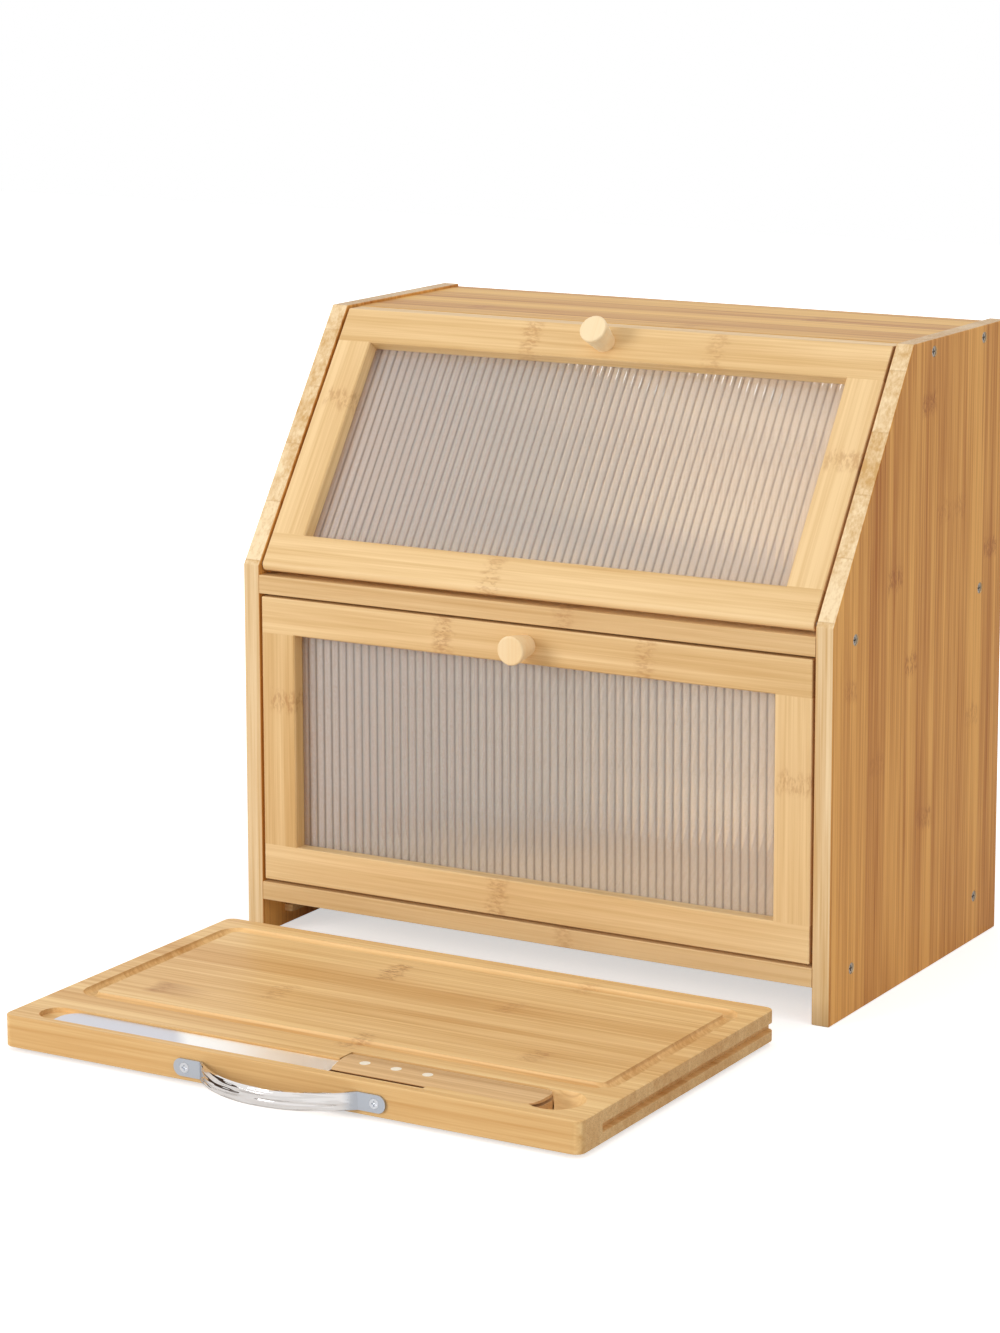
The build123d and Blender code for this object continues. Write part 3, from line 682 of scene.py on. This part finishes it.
class BREADBOX_OT_door_frames(bpy.types.Operator):
    """Finish the doors' rails, stiles, dowels and knobs"""

    bl_idname = "breadbox.door_frames"
    bl_label = "Door frames"

    def execute(self, context):
        look = context.scene.bread_box_bamboo
        for seed, door in enumerate(DOORS):
            base = up_the_door(door)
            shared = {"turn": DOOR_TURNS[door], "width": SEAMLESS_WIDTH, "start": DOOR_STRIP_START}
            rails = bamboo(
                door + "_rails", "xzy", look.front_light, look.front_dark, look.knuckle,
                shifted(RAIL_KNUCKLES[door], across=base), seed=40.0 + seed, contrast=0.8, **shared,
            )
            stiles = bamboo(
                door + "_stiles", "zxy", look.front_light, look.front_dark, look.knuckle,
                shifted(STILE_KNUCKLES[door], along=base), seed=50.0 + seed, contrast=0.8, **shared,
            )
            knob = bamboo(
                door + "_knob", "zxy", look.knob_light, look.front_light, look.knuckle,
                seed=60.0 + seed, sawn_ends=False, **shared,
            )
            for rail in ("top_rail", "bottom_rail"):
                finish(f"{door}_{rail}", rails)
            for stile in ("left_stile", "right_stile", "dowels"):
                finish(f"{door}_{stile}", stiles)
            finish(door + "_knob", knob)
        return {"FINISHED"}


# A pane's haze varies by this much. Its valleys take a painted shade, for the dark lines that the
# reeds' refraction draws, growing between these distances from a reed's middle, as shares of the pitch.
HAZE_SPREAD = 0.05
VALLEY_EDGES = (0.30, 0.47)
VALLEY_PAINTED_SHADE = (0.30, 0.26, 0.23, 1)


class BREADBOX_OT_panes(bpy.types.Operator):
    """Finish the reeded panes as clear, slightly hazy plastic"""

    bl_idname = "breadbox.panes"
    bl_label = "Reeded panes"

    def execute(self, context):
        look = context.scene.bread_box_pane
        material, tree, shader = new_material("reeded_acrylic")
        vector = add(tree, "TexCoord").outputs["Object"]
        dust = centred(tree, noise(tree, vector, 260.0))
        rough = calc(tree, "MULTIPLY_ADD", dust, HAZE_SPREAD, look.haze)
        # Painted shade: the valleys between the reeds are darkened in the colour, for the dark lines of
        # refraction.
        across = calc(tree, "SUBTRACT", add(tree, "SeparateXYZ", {0: vector}).outputs[0], REED_START)
        reed = centred(tree, calc(tree, "FRACT", calc(tree, "DIVIDE", across, REED_PITCH)))
        painted_valley_shade = ramp(tree, calc(tree, "ABSOLUTE", reed), *VALLEY_EDGES, 0.0, look.reed_painted_shade)
        colour = blend(tree, painted_valley_shade, (*look.tint, 1), VALLEY_PAINTED_SHADE)
        # Lamps shine through the panes unchanged.
        shadow = add(tree, "LightPath").outputs["Is Shadow Ray"]
        set_inputs(
            shader,
            {"Base Color": colour, "Roughness": rough, "IOR": 1.49,
             "Transmission Weight": look.clearness, "Specular IOR Level": 0.5,
             "Alpha": calc(tree, "SUBTRACT", 1.0, shadow)},
        )
        for door in DOORS:
            finish(door + "_pane", material)
        return {"FINISHED"}


# Knuckles on the cutting board: from its left edge and its front edge, in millimetres.
BOARD_KNUCKLES = [
    (147, 186, 10, 0.8, 0.10),
    (150, 170, 10, 0.8, 0.05),
    (112, 112, 16, 0.45, 0.0),
    (48, 86, 11, 0.3, 0.5),
    (242, 152, 11, 0.45, 0.05),
    (262, 205, 11, 0.4, 0.0),
    (298, 84, 11, 0.5, 0.12),
    (200, 58, 14, 0.6, 0.05),
]


class BREADBOX_OT_cutting_board(bpy.types.Operator):
    """Finish the cutting board in oiled bamboo"""

    bl_idname = "breadbox.cutting_board"
    bl_label = "Cutting board"

    def execute(self, context):
        look = context.scene.bread_box_bamboo
        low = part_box("cutting_board")[0]
        material = bamboo(
            "bamboo_board", "xyz", look.board_light, look.board_dark, look.knuckle,
            shifted(BOARD_KNUCKLES, low.x / MM, low.y / MM), width=BOARD_STRIP_WIDTH, start=low.y,
            seed=70.0, contrast=0.85,
        )
        finish("cutting_board", material)
        return {"FINISHED"}


# The blade's painted sheen, a near white reflection painted into its colour, starts along a slanting
# line, where x and this share of y add up to the first of these places, and is full at the second.
PAINTED_SHEEN_SLANT = 0.8
PAINTED_SHEEN_EDGE = (-262.0 * MM, -250.0 * MM)


class BREADBOX_OT_knife(bpy.types.Operator):
    """Finish the bread knife's blade, wooden scales and rivets"""

    bl_idname = "breadbox.knife"
    bl_label = "Bread knife"

    def execute(self, context):
        look = context.scene.bread_box_bamboo
        steel = context.scene.bread_box_steel
        blade = metal("blade_steel", steel.blade_satin, roughness=0.36, spread=0.12)
        # The blade is satin all along; a painted reflection turns its colour near white in front of the
        # handle.
        tree = blade.node_tree
        parts = add(tree, "SeparateXYZ", {0: add(tree, "TexCoord").outputs["Object"]}).outputs
        along = calc(tree, "MULTIPLY_ADD", parts[1], PAINTED_SHEEN_SLANT, parts[0])
        painted_sheen = ramp(tree, along, *PAINTED_SHEEN_EDGE)
        colour = blend(tree, painted_sheen, (*steel.blade_satin, 1), (*steel.blade_painted_sheen, 1))
        set_inputs(tree.nodes["Principled BSDF"], {"Base Color": colour})
        rivets = metal("rivet_steel", (1.0, 0.97, 0.88), roughness=0.50, spread=0.10)
        scales = bamboo(
            "knife_wood", "xyz", look.grip_light, look.grip_dark, look.knuckle,
            width=SEAMLESS_WIDTH, start=KNIFE_STRIP_START, seed=80.0,
        )
        finish("knife_blade", blade)
        finish("knife_rivets", rivets)
        for scale in ("upper", "lower"):
            finish(f"knife_{scale}_scale", scales)
        return {"FINISHED"}


# The strap's bow ends, and its feet start, this far to each side of the box's middle.
BOW_END = 44.0 * MM
FEET_START = 50.0 * MM
# How much rougher the feet are, and how high the bow's crown and ripples stand, in millimetres.
FEET_ROUGHNESS = 0.26
CROWN_HEIGHT = 1.4
RIPPLE_HEIGHT = 3.6


class BREADBOX_OT_board_handle(bpy.types.Operator):
    """Finish the polished strap handle and its screws"""

    bl_idname = "breadbox.board_handle"
    bl_label = "Board handle"

    def execute(self, context):
        steel = context.scene.bread_box_steel
        strap = metal("strap_steel", steel.strap_bow, roughness=0.09, spread=0.06, swell=self.crown)
        # Its feet are brushed, and a darker, bluer grey.
        tree = strap.node_tree
        bow = self.bow(tree, add(tree, "TexCoord").outputs["Object"])
        shader = tree.nodes["Principled BSDF"]
        rough = shader.inputs["Roughness"].links[0].from_socket
        extra = ramp(tree, bow, 0.0, 1.0, FEET_ROUGHNESS, 0.0)
        set_inputs(
            shader,
            {"Base Color": blend(tree, bow, (*steel.strap_feet, 1), (*steel.strap_bow, 1)),
             "Roughness": calc(tree, "ADD", rough, extra)},
        )
        screws = metal("strap_screw_steel", (0.72, 0.74, 0.78), roughness=0.24, spread=0.10)
        finish("board_handle", strap)
        finish("board_handle_screws", screws)
        return {"FINISHED"}

    def crown(self, tree, vector):
        """The bow's hand-polished face: rounded across its width, with long low ripples."""
        low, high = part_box("board_handle")
        middle, half = (low.z + high.z) / 2, (high.z - low.z) / 2
        parts = add(tree, "SeparateXYZ", {0: vector}).outputs
        across = calc(tree, "DIVIDE", calc(tree, "SUBTRACT", parts[2], middle), half)
        round_face = calc(tree, "MULTIPLY", calc(tree, "MULTIPLY", across, across), -CROWN_HEIGHT)
        ripple = noise(tree, stretched(tree, vector, 32, 32, 300), detail=1.0, rough=0.4, warp=0.5)
        form = calc(tree, "MULTIPLY_ADD", centred(tree, ripple), RIPPLE_HEIGHT, round_face)
        return calc(tree, "MULTIPLY", form, self.bow(tree, vector))

    def bow(self, tree, vector):
        """One on the strap's bow, nothing on its feet."""
        beside = calc(tree, "ABSOLUTE", add(tree, "SeparateXYZ", {0: vector}).outputs[0])
        return ramp(tree, beside, BOW_END, FEET_START, 1.0, 0.0)


class BREADBOX_OT_fasteners(bpy.types.Operator):
    """Finish the screws, pins, magnets and striker discs"""

    bl_idname = "breadbox.fasteners"
    bl_label = "Fasteners"

    def execute(self, context):
        screws = metal("screw_steel", (0.45, 0.42, 0.38), roughness=0.34, spread=0.15)
        nickel = metal("nickel", (0.70, 0.68, 0.64), roughness=0.25, spread=0.12)
        names = ["side_screws_left", "side_screws_right", "back_screws", "hinge_pins"]
        names += [f"{door}_{kind}" for door in DOORS for kind in ("pane_screws", "knob_screw")]
        for node in names:
            finish(node, screws)
        for node in ("door_magnets", *(door + "_striker_discs" for door in DOORS)):
            finish(node, nickel)
        return {"FINISHED"}


# The film's width, in millimetres as the lens is.
FILM_WIDTH = 36.0
# The lamps: where each stands, its width, and the studio setting with its power.
LAMPS = {
    "key": ((-1.8, -2.8, 1.1), 1.6, "key_level"),
    "fill": ((2.6, -0.9, 1.2), 1.4, "fill_level"),
    "overhead": ((0.2, 0.3, 2.6), 1.6, "top_level"),
}
LAMP_TARGET = Vector((0.0, 0.05, 0.18))
# The floor's half width, the radii between which its glow grows, and the glow at each.
FLOOR_HALF = 4.0
GLOW_RADII = (0.45, 1.1)
GLOW_LEVELS = (0.56, 1.0)
MIRRORED_GLOW = 0.12
# The brown card's two ends on the floor, and its height.
CARD_BACK = (-1.5, 0.9)
CARD_FRONT = (-0.9, -2.1)
CARD_HEIGHT = 0.8


def area_lamp(name, place, size, power):
    """A square lamp that looks at the box."""
    data = bpy.data.lights.new(name, "AREA")
    data.size = size
    data.energy = power
    lamp = bpy.data.objects.new(name, data)
    aim = (LAMP_TARGET - Vector(place)).to_track_quat("-Z", "Y")
    lamp.matrix_world = Matrix.Translation(place) @ aim.to_matrix().to_4x4()
    bpy.context.scene.collection.objects.link(lamp)


def stage_sheet(name, corners, material):
    """A flat sheet with four corners."""
    mesh = bpy.data.meshes.new(name)
    mesh.from_pydata(corners, [], [(0, 1, 2, 3)])
    mesh.materials.append(material)
    sheet = bpy.data.objects.new(name, mesh)
    bpy.context.scene.collection.objects.link(sheet)
    return sheet


class BREADBOX_OT_studio(bpy.types.Operator):
    """Set up the pale floor, the brown card, the lamps, the world and the camera"""

    bl_idname = "breadbox.studio"
    bl_label = "Studio"

    def execute(self, context):
        studio = context.scene.bread_box_studio
        self.floor()
        self.world(studio)
        self.card()
        for name, (place, size, setting) in LAMPS.items():
            area_lamp(name, place, size, getattr(studio, setting))
        self.camera(context.scene, studio)
        context.scene.view_settings.view_transform = "Standard"
        return {"FINISHED"}

    def floor(self):
        """A flat pale floor that shows white away from the box and keeps its soft shadow nearby."""
        material, tree, shader = new_material("floor_paper")
        seen = add(tree, "LightPath").outputs
        shown = calc(tree, "MAXIMUM", seen["Is Camera Ray"], seen["Is Transmission Ray"])
        place = add(tree, "TexCoord").outputs["Object"]
        radius = add(tree, "VectorMath", {0: place}, operation="LENGTH").outputs["Value"]
        glow = calc(tree, "MULTIPLY", shown, ramp(tree, radius, *GLOW_RADII, *GLOW_LEVELS))
        glow = calc(tree, "MULTIPLY_ADD", seen["Is Glossy Ray"], MIRRORED_GLOW, glow)
        set_inputs(
            shader,
            {"Base Color": (0.80, 0.80, 0.80, 1), "Roughness": 0.9, "Specular IOR Level": 0.1,
             "Emission Color": (1, 1, 1, 1), "Emission Strength": glow},
        )
        half = FLOOR_HALF
        corners = [(-half, -half, 0), (half, -half, 0), (half, half, 0), (-half, half, 0)]
        floor = stage_sheet("floor", corners, material)

    def card(self):
        """A brown card at the left that only shiny surfaces show, as dark streaks in polished steel."""
        material, _, shader = new_material("studio_card")
        set_inputs(shader, {"Base Color": (0.07, 0.04, 0.025, 1), "Roughness": 0.9})
        corners = [(*CARD_BACK, 0), (*CARD_FRONT, 0), (*CARD_FRONT, CARD_HEIGHT),
                   (*CARD_BACK, CARD_HEIGHT)]
        card = stage_sheet("studio_card", corners, material)
        for ray in ("camera", "diffuse", "transmission", "volume_scatter", "shadow"):
            setattr(card, "visible_" + ray, False)

    def world(self, studio):
        """Even white light from all round, and plain white wherever the room itself is seen."""
        world = bpy.data.worlds.new("studio_white")
        bpy.context.scene.world = world
        world.use_nodes = True
        tree = world.node_tree
        tree.nodes.clear()
        seen = add(tree, "LightPath").outputs
        shown = calc(tree, "MAXIMUM", seen["Is Camera Ray"], seen["Is Glossy Ray"])
        shown = calc(tree, "MAXIMUM", shown, seen["Is Transmission Ray"])
        level = ramp(tree, shown, 0.0, 1.0, studio.world_level, 1.0)
        background = add(tree, "Background", {"Color": (1, 1, 1, 1), "Strength": level})
        output = add(tree, "OutputWorld")
        tree.links.new(background.outputs[0], output.inputs[0])

    def camera(self, scene, studio):
        """The photograph's view: round to the right and looking down a little."""
        data = bpy.data.cameras.new("camera")
        data.sensor_width = FILM_WIDTH
        data.lens = studio.lens
        data.shift_y = studio.film_rise
        camera = bpy.data.objects.new("camera", data)
        turn = (
            Matrix.Rotation(studio.azimuth, 4, "Z")
            @ Matrix.Rotation(math.pi / 2 - studio.pitch, 4, "X")
            @ Matrix.Rotation(studio.roll, 4, "Z")
        )
        camera.matrix_world = Matrix.Translation(studio.place) @ turn
        scene.collection.objects.link(camera)
        scene.camera = camera


# ------------------------------------------------------------------ add-on
SETTINGS = {
    "bread_box_bamboo": BreadBoxBamboo,
    "bread_box_pane": BreadBoxPane,
    "bread_box_steel": BreadBoxSteel,
    "bread_box_studio": BreadBoxStudio,
}

OPERATORS = (
    BREADBOX_OT_effects,
    BREADBOX_OT_sides,
    BREADBOX_OT_cross_boards,
    BREADBOX_OT_door_frames,
    BREADBOX_OT_panes,
    BREADBOX_OT_cutting_board,
    BREADBOX_OT_knife,
    BREADBOX_OT_board_handle,
    BREADBOX_OT_fasteners,
    BREADBOX_OT_studio,
)


class BREADBOX_PT_sidebar(bpy.types.Panel):
    """The bread box's finishes and studio"""

    bl_idname = "BREADBOX_PT_sidebar"
    bl_label = "Bread box"
    bl_space_type = "VIEW_3D"
    bl_region_type = "UI"
    bl_category = "Bread box"

    def draw(self, context):
        for operator in OPERATORS:
            self.layout.operator(operator.bl_idname)
        for name in SETTINGS:
            box = self.layout.box()
            settings = getattr(context.scene, name)
            for label in settings.__annotations__:
                box.prop(settings, label)


CLASSES = (*SETTINGS.values(), *OPERATORS, BREADBOX_PT_sidebar)


def register():
    for kind in CLASSES:
        bpy.utils.register_class(kind)
    for name, kind in SETTINGS.items():
        setattr(bpy.types.Scene, name, bpy.props.PointerProperty(type=kind))


def unregister():
    for name in SETTINGS:
        delattr(bpy.types.Scene, name)
    for kind in reversed(CLASSES):
        bpy.utils.unregister_class(kind)


def main():
    """Registers the add-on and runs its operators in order."""
    register()
    for operator in OPERATORS:
        group, name = operator.bl_idname.split(".")
        getattr(getattr(bpy.ops, group), name)()


if __name__ == "__main__":
    main()
